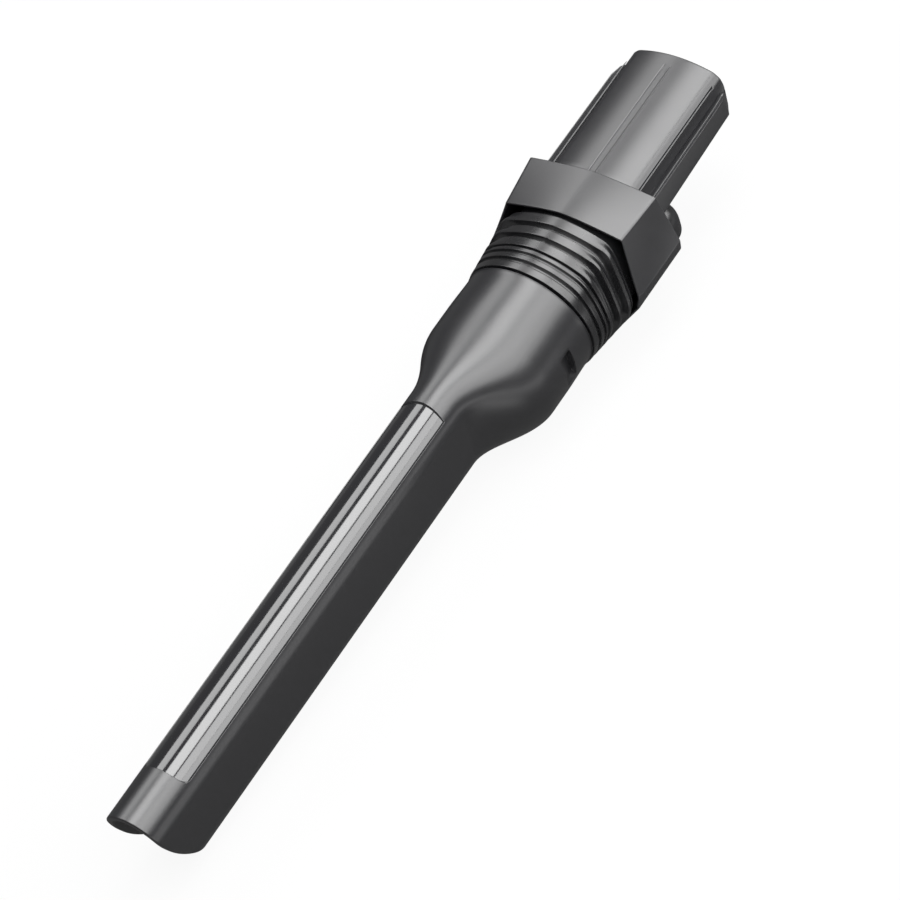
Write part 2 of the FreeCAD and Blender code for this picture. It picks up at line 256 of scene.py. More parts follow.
recess_length = strip_end_x + strip_bulge - strip_start_x
print("recess:", recess_length.round(1), "by", (2.0 * strip_half).round(1), "mm")

# %% [markdown]
# Rows near the tip follow the slanted cut, and straighten out towards the shoulder. The outside has extra
# rows where the recess and the catch notches begin and end. The wall's edge is rounded on both sides at the
# tip, and on the outside at the seam. The wall grows thicker from the nozzle to the neck.

# %% Rows along the nozzle body
nozzle_wall, neck_wall = 2.0, 3.2
lip_round, seam_round = 0.45, 0.35
notch_to_seam, notch_length = 9.4, 5.3
notch_end_x = seam_x - notch_to_seam
notch_start_x = notch_end_x - notch_length
fine_step, notch_edge = 0.12, 0.3


def quarter(count=6):
    """Sine and one minus cosine over a quarter turn, for rounding an edge."""
    turn = np.linspace(0.0, np.pi / 2.0, count)
    return np.sin(turn), 1.0 - np.cos(turn)


def outside_stations():
    """Stations of the outside from the tip's rounding to the seam's, dense where something begins.

    The numbers beside the places are the distances at which the spacing changes, and how many rows.
    """
    return np.concatenate([
        np.linspace(tip_x + lip_round, strip_start_x - 1.0, 10)[1:],
        np.arange(strip_start_x - 0.6, strip_start_x + 3.4, fine_step),
        np.linspace(strip_start_x + 4.0, strip_end_x - 1.2, 22),
        np.arange(strip_end_x - 0.8, strip_end_x + strip_bulge + 0.6, fine_step),
        np.linspace(shoulder_start_x - 3.0, shoulder_end_x, 64),
        np.linspace(shoulder_end_x, notch_start_x, 6)[1:-1],
        np.linspace(notch_start_x - notch_edge, notch_start_x + notch_edge, 7),
        np.linspace(notch_start_x, notch_end_x, 8)[1:-1],
        np.linspace(notch_end_x - notch_edge, notch_end_x + notch_edge, 13),
        np.linspace(notch_end_x, seam_x - seam_round, 6)[1:],
    ])


rise, fall = quarter()
outside = outside_stations()
inside = np.linspace(seam_x, tip_x + lip_round, 60)
inside_wall = nozzle_wall + roundness_at(inside) * (neck_wall - nozzle_wall)
row_x = np.concatenate([
    tip_x + lip_round * fall, outside, seam_x - seam_round * (1.0 - rise),
    inside, tip_x + lip_round * (1.0 - rise)])
row_inset = np.concatenate([
    lip_round * (1.0 - rise), np.zeros(len(outside)), seam_round * fall,
    inside_wall, nozzle_wall - lip_round * fall])

along, inset = row_x[:, None], row_inset[:, None]
is_outside = np.arange(len(row_x))[:, None] < len(rise) + len(outside)
roundness = roundness_at(along)
slanted = np.clip((shoulder_start_x - along) / (shoulder_start_x - tip_x), 0.0, 1.0)
print("nozzle body:", len(row_x), "rows of", len(column_turn))

# %% [markdown]
# The trim lies in a shallow recess whose floor is sunk from the rounded top edge. The recess is the same
# formula with a deeper inset, wherever a point is inside the strip's plan. The neck narrows a little
# towards the seam, which bends its highlights there.

# %% Recess and neck
recess_depth = 1.05
recess_wall_run = 0.12
narrowing_depth, narrowing_length = 0.3, 14.0

y, z = body_section(roundness, inset)
x = along + slanted * setback(z)
outside_plan = np.maximum(np.abs(y) - strip_half - strip_side_clearance,
                          np.maximum(strip_start_at(y) - x, x - strip_end_at(y)))
recess = ease(-outside_plan / recess_wall_run) * is_outside * (column_up > 0)
narrowing = narrowing_depth * ease((along - seam_x + narrowing_length) / narrowing_length)
y, z = body_section(roundness, inset + recess_depth * recess + narrowing * is_outside)
print("points on the recess floor:", int((recess > 0.5).sum()))

# %% [markdown]
# The catch notch on each side of the neck is a flat ramp between two straight sides. It could be cut out
# with a boolean, which leaves long thin faces. Here a point's distance from the middle plane is simply
# limited, by more towards the seam.

# %% Catch notches and nozzle body
notch_shallow, notch_deep = 0.75, 2.4
notch_half_height, notch_side_run = 5.6, 0.4
notch_wall_run = 0.15
out_of_reach = 1e-3

ramp = (along - notch_start_x) / (notch_end_x - notch_start_x)
deep = notch_shallow + (notch_deep - notch_shallow) * np.clip(ramp, 0.0, 1.0)
in_notch = ease((along - notch_start_x) / notch_wall_run) * ease((notch_end_x - along) / notch_wall_run)
in_notch = in_notch * ease((notch_half_height - np.abs(z)) / notch_side_run)
y = np.sign(y) * np.minimum(np.abs(y), neck_radius - deep * in_notch + (1.0 - in_notch) * out_of_reach)
x = along + slanted * setback(z)
nozzle_shell = piece("nozzle_shell", "nozzle_body", np.stack([x, y, z], axis=-1))

# %% [markdown]
# ## Trim strip
# A thin gloss inlay, bent to the nozzle's round top edge. It is a closed pillow: the columns run across its
# top and back along its underside, and its half thickness falls to nothing at the edge along a quarter of a
# circle, which gives the fine rounded rim that catches the light. Its middle is a little flatter than the
# nozzle's edge, so the bands of light on it are wider.

# %% Trim strip
strip_outer_radius = strip_high[2] - (neck_radius - nozzle_half_width)
strip_thickness = 0.8
strip_rim = 0.2
crown_sink = 0.6
strip_end_run = 3.0

across = np.radians(strip_half_angle) * np.sin(np.linspace(-np.pi / 2.0, np.pi / 2.0, 61))
strip_turn = np.concatenate([across, across[::-1]])
strip_face = np.repeat([1.0, -1.0], len(across))
strip_y = strip_outer_radius * np.sin(strip_turn)

rim_steps = strip_corner * np.linspace(0.0, 1.0, 26) ** 2
strip_length = strip_high[0] - strip_low[0]
strip_share = np.concatenate([rim_steps, np.linspace(strip_end_run, strip_length - strip_end_run, 24),
                              strip_length - rim_steps[::-1]]) / strip_length
start = strip_start_at(strip_y) + strip_clearance
end = strip_end_at(strip_y) - strip_clearance
x = start + strip_share[:, None] * (end - start)
edge_gap = np.minimum(np.abs(strip_outer_radius * np.sin(across[-1])) - np.abs(strip_y),
                      np.minimum(x - start, end - x))
swell = np.sqrt(1.0 - (1.0 - np.clip(edge_gap / strip_rim, 0.0, 1.0)) ** 2)
sink = crown_sink * (1.0 - (strip_turn / strip_turn.max()) ** 2)
outer, inner = strip_outer_radius - sink, strip_outer_radius - strip_thickness
radius = (outer + inner) / 2.0 + strip_face * swell * (outer - inner) / 2.0
y = radius * np.sin(strip_turn)
z = neck_radius - nozzle_half_width + radius * np.cos(strip_turn)
trim_inlay = piece("trim_inlay", "trim_strip", np.stack([x, y, z], axis=-1), ends="pinched")

# %% [markdown]
# ## Outlines with rounded corners
# The sleeve, the collar and the barrel have many-sided outlines. Each side is a quadratic curve from corner
# to corner, and each corner is rounded by a short curve that starts and ends a little way along its two
# sides. The tool is the same on both sides, so only half an outline is worked out, from the top to the
# foot.

# %% Rounded outlines
longest_share = 0.45


def dense_ends(count):
    """Values from 0 to 1, closer together near both: (1 - cos(pi t)) / 2."""
    return (1.0 - np.cos(np.pi * np.linspace(0.0, 1.0, count))) / 2.0


def quadratic(start, control, end, t):
    """Quadratic curve (1-t)^2 start + 2t(1-t) control + t^2 end, for arrays of points and of t."""
    t = t[..., None]
    start, control, end = start[..., None, :], control[..., None, :], end[..., None, :]
    return (1.0 - t) ** 2 * start + 2.0 * t * (1.0 - t) * control + t ** 2 * end


def half_outline(corners, controls, reach, side_count=13, corner_count=7):
    """Half an outline through (..., corners, 2): curved sides, and corners rounded by reach."""
    sides = corners.shape[-2] - 1
    length = np.linalg.norm(np.diff(corners, axis=-2), axis=-1)
    share = np.minimum(reach, longest_share * length) / length
    parts = []
    for k in range(sides):
        start, control, end = corners[..., k, :], controls[..., k, :], corners[..., k + 1, :]
        first = share[..., k] * (k > 0)
        last = 1.0 - share[..., k] * (k < sides - 1)
        t = first[..., None] + (last - first)[..., None] * dense_ends(side_count)
        side = quadratic(start, control, end, t)
        if k:
            bend = np.linspace(0.0, 1.0, corner_count)[1:-1]
            bend = np.broadcast_to(bend, share.shape[:-1] + bend.shape)
            parts.append(quadratic(parts[-1][..., -1, :], start, side[..., 0, :], bend))
        parts.append(side)
    return np.concatenate(parts, axis=-2)


def mirrored(half):
    """Full ring of points (x, y, z) from half a ring that starts and ends in the middle plane."""
    other = half[..., -2:0:-1, :] * np.array([1.0, -1.0, 1.0])
    return np.concatenate([half, other], axis=-2)


def ring_at(x, outline):
    """Points (x, y, z) of an outline (y, z) at station x, which is one number or one for each point."""
    return np.column_stack([np.broadcast_to(x, len(outline)), outline])


print("five values with dense ends:", dense_ends(5).round(2))

# %% [markdown]
# The collar tapers towards the sleeve, so its corners move in with the distance from the shoulder. To move
# an outline inwards, each side is shifted square to itself, and neighbouring sides are crossed again. The
# sleeve ends in the same outline, so both pieces take it from here.

# %% Collar outline
collar_length = 18.1
skirt_reach = 7.5
skirt_top_z, skirt_low_z = 15.5, -3.0
crown_control_share = 0.27
collar_corners = np.array([[0.0, 20.4], [22.5, 17.3], [27.38, -0.6], [26.9, -4.4],
                           [15.5, foot_z], [0.0, foot_z]])
collar_taper = np.zeros((6, 2))
collar_taper[[1, 4]] = [[0.10, 0.05], [0.06, 0.0]]


def collar_edge_x(z):
    """The collar's edge at height z: -length at the top, slanting forward by the reach down each side."""
    return -collar_length - skirt_reach * np.clip((skirt_top_z - z) / (skirt_top_z - skirt_low_z), 0.0, 1.0)


def inset_corners(corners, inset):
    """Corners after each side n . p = c is moved to n . p = c - inset; the middle plane stays."""
    along_side = np.diff(corners, axis=-2)
    normal = np.stack([-along_side[..., 1], along_side[..., 0]], axis=-1)
    normal /= np.linalg.norm(normal, axis=-1, keepdims=True)
    reach = (normal * corners[..., :-1, :]).sum(-1) - np.asarray(inset)[..., None]
    a, b, c = normal[..., :-1, 0], normal[..., :-1, 1], reach[..., :-1]
    d, e, f = normal[..., 1:, 0], normal[..., 1:, 1], reach[..., 1:]
    det = a * e - b * d
    inner = np.stack([(c * e - b * f) / det, (a * f - c * d) / det], axis=-1)
    drop = np.asarray(inset)[..., None] * np.array([0.0, 1.0])
    top, foot = corners[..., 0, :] - drop, corners[..., -1, :] + drop
    return np.concatenate([top[..., None, :], inner, foot[..., None, :]], axis=-2)


def collar_outline(x, inset, reach, corner_shift=0.0, side_count=13, corner_count=7):
    """Half outline (y, z) at stations x, a number for each row, moved inwards by inset.

    The sides are straight, but the first leaves the middle plane level, which makes the crown.
    """
    x, inset = np.broadcast_arrays(np.asarray(x, float), np.asarray(inset, float))
    corners = inset_corners(collar_corners + corner_shift + x[..., None, None] * collar_taper, inset)
    controls = (corners[..., :-1, :] + corners[..., 1:, :]) / 2.0
    controls[..., 0, 0] = crown_control_share * corners[..., 1, 0]
    controls[..., 0, 1] = corners[..., 0, 1]
    return half_outline(corners, controls, reach, side_count, corner_count)


outline = collar_outline(0.0, 0.0, 0.5)
print("collar outline:", len(outline), "points, half width", outline[:, 0].max().round(1), "mm")

# %% [markdown]
# ## Ribbed sleeve
# A soft moulding over the stem, like a stack of cups. Rings set side by side would look alike, and these
# change from one to the next, so they are one surface. Each rib starts with a crisp edge, keeps the
# collar's angular outline for a narrow land, and then its corners fall away into the next groove. Rows are
# counted by their distance from the seam, and each carries its depth and how far down its rib it lies.

# %% Ribs as rows
rib_starts = np.array([0.8, 5.1, 8.1, 10.3, 15.5, 20.6])
rib_ends = np.array([3.7, 7.1, 9.7, 13.9, 18.9, 24.5])
groove_depths = np.array([1.9, 1.2, 1.2, 2.1, 2.2, 2.2])
rib_falls = np.array([0.3, 0.15, 0.6, 1.0, 1.0, 0.6])
seam_groove_depth = 1.6
edge_round, far_round = 0.22, 0.5


def rib_rows(start, end, depth, fall):
    """Rows of one rib from groove to groove: distance from the seam, inset, share past, and fall.

    Steep side, quarter round, the rib's outside, a larger quarter round and the groove.
    """
    rise, drop = quarter(5)
    past = np.linspace(0.0, 1.0, 15)[1:-1]
    near, far = start + edge_round, end - far_round
    distance = np.concatenate([[start], start + edge_round * drop, near + past * (far - near),
                               end - far_round * (1.0 - rise), [end]])
    inset = np.concatenate([[depth], edge_round * (1.0 - rise), 0.0 * past, far_round * drop, [depth]])
    past = np.concatenate([np.zeros(len(rise) + 1), past, np.ones(len(rise) + 1)])
    return np.stack([distance, inset, past, np.full(len(past), fall)])


seam_row = [[0.0], [seam_groove_depth], [0.0], [0.0]]
rib_parts = [rib_rows(*rib) for rib in zip(rib_starts, rib_ends, groove_depths, rib_falls)]
row_distance, row_inset, row_past, row_fall = np.concatenate([seam_row] + rib_parts, axis=1)
print("sleeve:", len(rib_starts), "ribs in", len(row_distance), "rows")

# %% [markdown]
# Two outlines bound a rib: the crisp one at its edge, and a soft one with wide corners, which it falls to.
# Both are read by direction, as distances from the axis, so that a row can lie anywhere between them. The
# side falls too, and near the corner the fall begins sooner, because the land is narrow there.

# %% Crisp and fallen outline of a rib
rib_stand = 0.35
rib_corner, fallen_corner = 1.8, 10.0
side_fall = 1.6
land_share, corner_land_share = 0.45, 0.12
side_turn_start, side_turn_run = np.radians([40.0, 35.0])
corner_turn_start, corner_turn_run = np.radians([20.0, 32.0])
rib_shoulder_shift = np.zeros((6, 2))
rib_shoulder_shift[1] = [-1.1, -1.0]

crisp, soft = [collar_outline(-collar_length, rib_stand, corner, rib_shoulder_shift, 27, corner_count)
               for corner, corner_count in ((rib_corner, 11), (fallen_corner, 61))]
crisp_reach = np.linalg.norm(crisp, axis=-1)
direction = crisp / crisp_reach[:, None]
soft_turn, crisp_turn = [np.arctan2(outline[:, 0], outline[:, 1]) for outline in (soft, crisp)]
soft_reach = np.minimum(crisp_reach, np.interp(crisp_turn, soft_turn, np.linalg.norm(soft, axis=-1)))
soft_reach -= side_fall * ease((crisp_turn - side_turn_start) / side_turn_run)
to_corner = ease((crisp_turn - corner_turn_start) / corner_turn_run)
land = land_share + to_corner * (corner_land_share - land_share)
print("a rib's corner falls by up to", (crisp_reach - soft_reach).max().round(1), "mm")

# %% [markdown]
# The sleeve is round at the neck, so each row mixes a circle with the collar's outline. The rows fan out:
# they start square to the axis at the seam and end along the collar's slanted edge. Past the last rib the
# sleeve plugs into the collar, and its bore returns over the stem.

# %% Ribbed sleeve
sleeve_length = -collar_length - seam_x
neck_stand = 0.2
plug_lead = 1.0
stem_clear_radius = 17.5


def sleeve_section(distance, inset, past, fall):
    """Half ring (x, y, z) at a distance from the seam; the collar's outline takes over by its share.

    Reach in each direction = circle + share * (crisp + fallen * (soft - crisp) - circle) - inset, where
    fallen rises from 0 at the end of the land to the rib's fall at its far end.
    """
    share = np.minimum(1.0, distance / sleeve_length)[..., None]
    fallen = fall[..., None] * ease((past[..., None] - land) / (1.0 - land))
    outline = crisp_reach + fallen * (soft_reach - crisp_reach)
    circle = neck_radius + neck_stand
    reach = circle + share * (outline - circle) - inset[..., None]
    section = reach[..., None] * direction
    fan = (collar_edge_x(section[..., 1]) - seam_x) / sleeve_length
    return np.concatenate([(seam_x + fan * distance[..., None])[..., None], section], axis=-1)


ribs = sleeve_section(row_distance, row_inset, row_past, row_fall)
plug = [ring_at(x, ribs[-1, :, 1:]) for x in (ribs[-1, :, 0] + plug_lead, plug_end_x)]
bore = [ring_at(x, stem_clear_radius * direction) for x in (plug_end_x, seam_x)]
sleeve_skin = piece("sleeve_skin", "ribbed_sleeve", mirrored(np.concatenate([ribs, plug, bore])))

# %% [markdown]
# ## Connector
# One moulding, made here as the pieces that a mould maker would name: barrel with side rails, collar, fine
# ribs, tongue and stem. They run a little into each other, so that no gap shows. The barrel's outline has a
# round crown, a small bevel, upright sides, a gutter, a rail and a round belly. At the free end the gutter
# and the rail are gone, and the hole in the collar follows the bare wall, so three outlines share the crown
# and the belly. All have the same number of corners, so a mix of two is an outline again.

# %% Outlines of the barrel
barrel_half_width, bore_half_width = 16.6, 12.6
rail_half_width = 19.9
rail_top_z, rail_foot_z = 12.8, 4.2
belly_start_z = 1.5
bore_side_z = [12.6, 8.8, 7.4, 6.0, 4.2, 2.8, belly_start_z]

crown_corners = [[0.0, 19.4], [13.6, 16.9], [15.6, 15.0]]
gutter_corners = [[barrel_half_width, 12.6], [17.4, 10.4], [18.0, 11.0]]
rail_corners = [[rail_half_width - 0.3, rail_top_z], [rail_half_width, rail_foot_z], [18.2, belly_start_z]]
end_side_corners = [[16.2, 12.8], [16.3, 11.8], [16.2, 10.8], [16.1, 9.8], [15.8, rail_foot_z],
                    [15.7, belly_start_z]]
bare_side_corners = [[barrel_half_width, z] for z in bore_side_z[:-1]]
belly_corners = [[15.6, belly_start_z], [0.0, -9.5]]

barrel_corners = np.array(crown_corners + gutter_corners + rail_corners + belly_corners)
end_corners = np.array(crown_corners + end_side_corners + belly_corners)
bare_corners = np.array(crown_corners + bare_side_corners + belly_corners)
bore_corners = np.array([[0.0, 17.4], [11.2, 15.4], [12.3, 14.3]]
                        + [[bore_half_width, z] for z in bore_side_z] + [[0.0, -7.5]])
barrel_round = np.array([0.8, 0.8, 0.8, 0.8, 0.8, 0.4, 0.4, 0.8, 0.8, 0.8])


def barrel_outline(corners):
    """Half outline with a level top in the middle, and a belly whose middle lies on a quarter ellipse.

    That middle is centre + sqrt(1/2) * both half axes, and control = 2 middle - (start + end) / 2.
    """
    controls = (corners[:-1] + corners[1:]) / 2.0
    controls[0, 1] = corners[0, 1]
    side, foot = corners[-2], corners[-1]
    middle = np.array([0.0, side[1]]) + np.sqrt(0.5) * np.array([side[0], foot[1] - side[1]])
    controls[-1] = 2.0 * middle - (side + foot) / 2.0
    return half_outline(corners, controls, barrel_round)


outer, outer_end, hollow = [barrel_outline(one) for one in (barrel_corners, end_corners, bore_corners)]
print("barrel: half outline of", len(outer), "points")

# %% [markdown]
# Fine grooves run along the crown beside the fine ribs. They are so narrow that the outline needs points of
# its own there: each outline is read again at the same places, a few of them across every groove. Places
# are counted in points along the outline, so the three outlines stay matched.

# %% Grooves along the crown
groove_at = np.array([1.1, 15.2])
groove_half_width, groove_depth = 0.3, 0.45
crown_half_width = 15.55

crown_end = np.argmax(outer[:, 0] > crown_half_width)
index = np.arange(len(outer))
beside = groove_at[:, None] + groove_half_width * np.array([-1.0, -0.5, 0.0, 0.5, 1.0])
at_grooves = np.interp(beside.ravel(), outer[:crown_end, 0], index[:crown_end])
wanted = np.unique(np.concatenate([index, at_grooves]))
outer, outer_end, hollow = [np.stack([np.interp(wanted, index, one[:, k]) for k in (0, 1)], axis=-1)
                            for one in (outer, outer_end, hollow)]
from_groove = np.abs(outer[:, :1] - groove_at).min(-1)
groove = groove_depth * np.clip(1.0 - from_groove / groove_half_width, 0.0, 1.0) * (wanted < crown_end)
print("outline with grooves:", len(outer), "points")

# %% [markdown]
# Rows run along the barrel to the rounded rim of its free end. Near the end the side goes over into the end
# outline, sooner at the rail's top than at its foot, so the rail ends in a slant. The rail also leans in
# with the distance, as the draft of a mould makes it. The grooves stop short of the end.

# %% Spigot barrel with its rails
spigot_wall = 2.0
end_round = 0.7
barrel_start_x = -2.0
rib_to_end = 4.8
rib_length = spigot_end_x - rib_to_end
top_taper_length, foot_taper_length = 6.0, 4.0
rail_draft, full_rail_x = 0.033, 10.0
draft_lost_at_top = 0.8

rise, fall = quarter(8)
stations = np.concatenate([np.linspace(barrel_start_x, rib_length, 12),
                           np.linspace(rib_length + 0.3, spigot_end_x - end_round, 12),
                           spigot_end_x - end_round * (1.0 - rise)])
toward_bore = np.zeros(len(stations))
toward_bore[-len(fall):] = end_round * fall / spigot_wall

height_share = np.clip((outer[:, 1] - belly_start_z) / (rail_top_z - belly_start_z), 0.0, 1.0)
is_rail = outer[:, 0] > barrel_half_width + 0.2
draft = is_rail * rail_draft * (stations[:, None] - full_rail_x) * (1.0 - draft_lost_at_top * height_share)
has_grooves = stations < rib_length + 0.1
section = np.stack([outer[:, 0] - draft, outer[:, 1] - groove * has_grooves[:, None]], axis=-1)
taper_length = foot_taper_length + (top_taper_length - foot_taper_length) * height_share
tapered = np.clip((stations[:, None] - spigot_end_x + taper_length) / taper_length, 0.0, 1.0)
section = section + tapered[..., None] * (wanted > crown_end)[:, None] * (outer_end - section)
section = section + toward_bore[:, None, None] * (hollow - section)

outside_rows = [ring_at(x, outline) for x, outline in zip(stations, section)]
mouth_row = ring_at(spigot_end_x, section[-1] * 0.1 + hollow * 0.9)
inside_rows = [ring_at(x, hollow) for x in (spigot_end_x - 0.3, barrel_start_x)]
rows = np.stack(outside_rows + [mouth_row] + inside_rows)
spigot_barrel = piece("spigot_barrel", "connector", mirrored(rows))

# %% [markdown]
# The collar is a shell with a hole for the barrel. The hole has the shape of the middle of the barrel's
# wall, looked up by direction from a point inside it, so that its edge is always hidden in that wall.

# %% Hole for the barrel
middle_wall = (barrel_outline(bore_corners) + barrel_outline(bare_corners)) / 2.0
hub = np.array([0.0, 4.0])


def hole_outline(outline):
    """Points of the barrel's middle wall in the directions, from the hub, of an outline's points."""
    wall, aim = middle_wall - hub, outline - hub
    wall_angle, angle = np.arctan2(wall[:, 0], wall[:, 1]), np.arctan2(aim[..., 0], aim[..., 1])
    reach = np.interp(angle, wall_angle, np.linalg.norm(wall, axis=-1))
    return hub + reach[..., None] * np.stack([np.sin(angle), np.cos(angle)], axis=-1)


print("hole in the shoulder:", (2.0 * middle_wall[:, 0].max()).round(1), "mm across")

# %% [markdown]
# The collar's rows start at the rounded edge of the skirt, run along the outside to the shoulder, in over
# the shoulder to the hole, and back inside. A long bevel makes the wall thin at the skirt's edge, so that
# the edge shows as a fine line with the dark gap behind it, and not as a grey band.

# %% Collar
collar_wall, rim_wall = 2.2, 0.8
bevel_length = 5.0
skirt_round, shoulder_round = 0.35, 0.4
collar_rim = 0.5
back_x, far_x = -collar_wall, -25.0


def collar_ring(x, inset):
    """Half ring moved inwards by inset, at station x, which is one number or one for each point.

    The outline changes evenly along the axis, so it is near + x / far_x * (far - near).
    """
    near, far = [collar_outline(station, inset, collar_rim) for station in (0.0, far_x)]
    share = np.broadcast_to(x, len(near)) / far_x
    return ring_at(x, near + share[:, None] * (far - near))


rise, fall = quarter()
edge = collar_edge_x(collar_outline(-collar_length, 0.0, collar_rim)[:, 1])
rows = [collar_ring(edge + skirt_round * g, skirt_round * (1.0 - s)) for s, g in zip(rise, fall)]
rows += [collar_ring(edge + skirt_round + t * (-shoulder_round - skirt_round - edge), 0.0)
         for t in dense_ends(12)[1:-1]]
rows += [collar_ring(-shoulder_round * (1.0 - s), shoulder_round * g) for s, g in zip(rise, fall)]

shoulder, back = rows[-1][:, 1:], collar_ring(back_x, collar_wall)[:, 1:]
hole = hole_outline(shoulder)
rows += [ring_at(0.0, shoulder + t * (hole - shoulder)) for t in (0.05, 0.5, 1.0)]
rows += [ring_at(back_x, hole + t * (back - hole)) for t in (0.0, 0.5, 1.0)]
rows += [collar_ring(edge + bevel_length + t * (back_x - bevel_length - edge), collar_wall)
         for t in (0.5, 0.0)]
rows += [collar_ring(edge + skirt_round * (1.0 - s), rim_wall - skirt_round * g) for s, g in zip(rise, fall)]
collar = piece("collar", "connector", mirrored(np.stack(rows)))

# %% [markdown]
# Three fine ribs run along the crown: one in the middle and one at each edge. Each is a low bar whose
# section is a flat-topped arch, half buried in the crown. It ends in a short ramp that narrows.

# %% Fine ribs on the crown
crown_rib_height = 0.25
arch_power = 0.35
buried_share, end_width_share = 0.8, 0.15
crown_outline = outer[:crown_end + 4]


def crown_rib(name, y_centre, width, ramp):
    """Low bar along the crown: y = centre + half width * arch's y, z = crown + height * arch's z."""
    turn = np.linspace(0.0, 2.0 * np.pi, 32, endpoint=False)
    arch_y = np.sign(np.cos(turn)) * np.abs(np.cos(turn)) ** arch_power
    arch_z = np.abs(np.sin(turn)) ** arch_power
    above, below = arch_z * (np.sin(turn) > 0), arch_z * (np.sin(turn) <= 0)
    x = np.concatenate([[0.0], np.linspace(0.5, rib_length - ramp, 12),
                        rib_length - ramp * (1.0 - dense_ends(8)[1:])])
    left = np.clip((rib_length - x) / ramp, 0.0, 1.0)[:, None]
    y = y_centre + width / 2.0 * (end_width_share + (1.0 - end_width_share) * left) * arch_y
    crown = np.interp(np.abs(y), crown_outline[:, 0], crown_outline[:, 1])
    z = crown + crown_rib_height * ((left * 1.1 - 0.1) * above - buried_share * below)
    x = np.broadcast_to(x[:, None], y.shape)
    return piece(name, "connector", np.stack([x, y, z], axis=-1), ends="fans")


crown_ribs = [crown_rib("crown_rib_middle", y_centre=0.0, width=1.6, ramp=2.2),
              crown_rib("crown_rib_left", y_centre=15.6, width=0.5, ramp=3.0),
              crown_rib("crown_rib_right", y_centre=-15.6, width=0.5, ramp=3.0)]

# %% [markdown]
# The tongue is a rounded block below the barrel. Its plan is a rectangle with two round corners at the free
# end, where it shows, and two sharp ones inside the collar.

# %% Plan of the tongue
tongue_start_x, tongue_end_x = -1.5, 21.0
tongue_half_width = 14.4
tongue_round, back_round, least_round = 7.5, 0.3, 0.02


def tongue_plan(inset):
    """Ring (x, y): four corner arcs, wide at the free end and tight inside the collar, moved in by inset."""
    turn = np.linspace(0.0, np.pi / 2.0, 14)
    front, back = max(tongue_round - inset, least_round), max(back_round - inset, least_round)
    ring = []
    corners = ((front, 1, 1), (back, -1, 1), (back, -1, -1), (front, 1, -1))
    for quarter_turn, (radius, sign_x, sign_y) in enumerate(corners):
        x_far = tongue_end_x - inset if sign_x > 0 else tongue_start_x + inset
        centre = np.array([x_far - sign_x * radius, sign_y * (tongue_half_width - inset - radius)])
        angle = turn + quarter_turn * np.pi / 2.0
        ring.append(centre + radius * np.stack([np.cos(angle), np.sin(angle)], axis=-1))
    return np.concatenate(ring)


print("tongue plan:", len(tongue_plan(0.0)), "points")

# %% [markdown]
# Its rows shrink the plan for the wide rounding of its top, which ends inside the barrel's wall, and for
# the small one at its foot. Two more rows close each end, drawn in to a small ring with a fan in it.

# %% Tongue
tongue_top_z, tongue_foot_z = -10.0, foot_z + 0.05
tongue_top_run, tongue_top_drop = 5.5, 7.5
tongue_foot_round = 1.4
tongue_middle = np.array([(tongue_start_x + tongue_end_x) / 2.0, 0.0, 0.0])


def level_rows(insets, heights):
    """Rows of the plan, each moved in by its inset and lying at its height."""
    rings = [tongue_plan(inset) for inset in insets]
    return [np.column_stack([ring, np.full(len(ring), height)]) for ring, height in zip(rings, heights)]


def shrunk(row, share):
    """A row drawn in towards the tongue's middle to a share of its plan, at the same height."""
    return tongue_middle + (row - tongue_middle) * np.array([share, share, 1.0])


rise, fall = quarter(13)
rows = level_rows(tongue_top_run * fall[::-1], tongue_top_z - tongue_top_drop * (1.0 - rise[::-1]))
rise, fall = quarter(9)
rows += level_rows(tongue_foot_round * fall, tongue_foot_z + tongue_foot_round * (1.0 - rise))
rows = [shrunk(rows[0], 0.1), shrunk(rows[0], 0.5)] + rows + [shrunk(rows[-1], 0.5), shrunk(rows[-1], 0.1)]
tongue = piece("tongue", "connector", np.stack(rows), ends="fans")

# %% [markdown]
# The stem holds the sleeve and is pushed into the neck. It is hidden but for a look down the bore, so it is
# a plain turned form: a profile of stations and radii carried round the axis.

# %% Stem
stem_bore_radius, waist_radius, stem_radius = 15.6, 17.4, 18.4
stem_bevel = 0.5
stem_profile = np.array([[barrel_start_x, waist_radius], [seam_x, waist_radius], [seam_x, stem_radius],
                         [stem_end_x + stem_bevel, stem_radius], [stem_end_x, stem_radius - stem_bevel],
                         [stem_end_x, stem_bore_radius], [barrel_start_x, stem_bore_radius]])
turn = np.linspace(0.0, 2.0 * np.pi, 96, endpoint=False)
x, radius = stem_profile[:, :1] + 0.0 * turn, stem_profile[:, 1:]
stem = piece("stem", "connector", np.stack([x, radius * np.sin(turn), radius * np.cos(turn)], axis=-1))

# %% [markdown]
# ## Finishes
# All four pieces are charcoal, and it is their gloss that tells them apart. The mouldings have a satin face
# with a very fine grain, the trim is polished, and the sleeve is a soft rubber with faint streaks round it.
# The grain is a noise pattern in the bump, and a slower noise makes the gloss a little uneven. One function
# makes them all, because they differ only in these values.

# %% Moulded plastic and rubber
grain_strength, grain_detail = 0.5, 3.0
cloud_size, cloud_detail = 12.0, 4.0
cloud_low, cloud_high = 0.3, 0.7


def filled(node, values):
    """A shader node after its named inputs have been given their values."""
    for name, value in values.items():
        node.inputs[name].default_value = value
    return node


def noise(tree, vector, size, detail):
    """Noise pattern with grains of a size in millimetres, read at a vector."""
    made = filled(tree.nodes.new("ShaderNodeTexNoise"), {"Scale": 1.0 / (size * MM), "Detail": detail})
    tree.links.new(vector, made.inputs["Vector"])
    return made.outputs["Fac"]


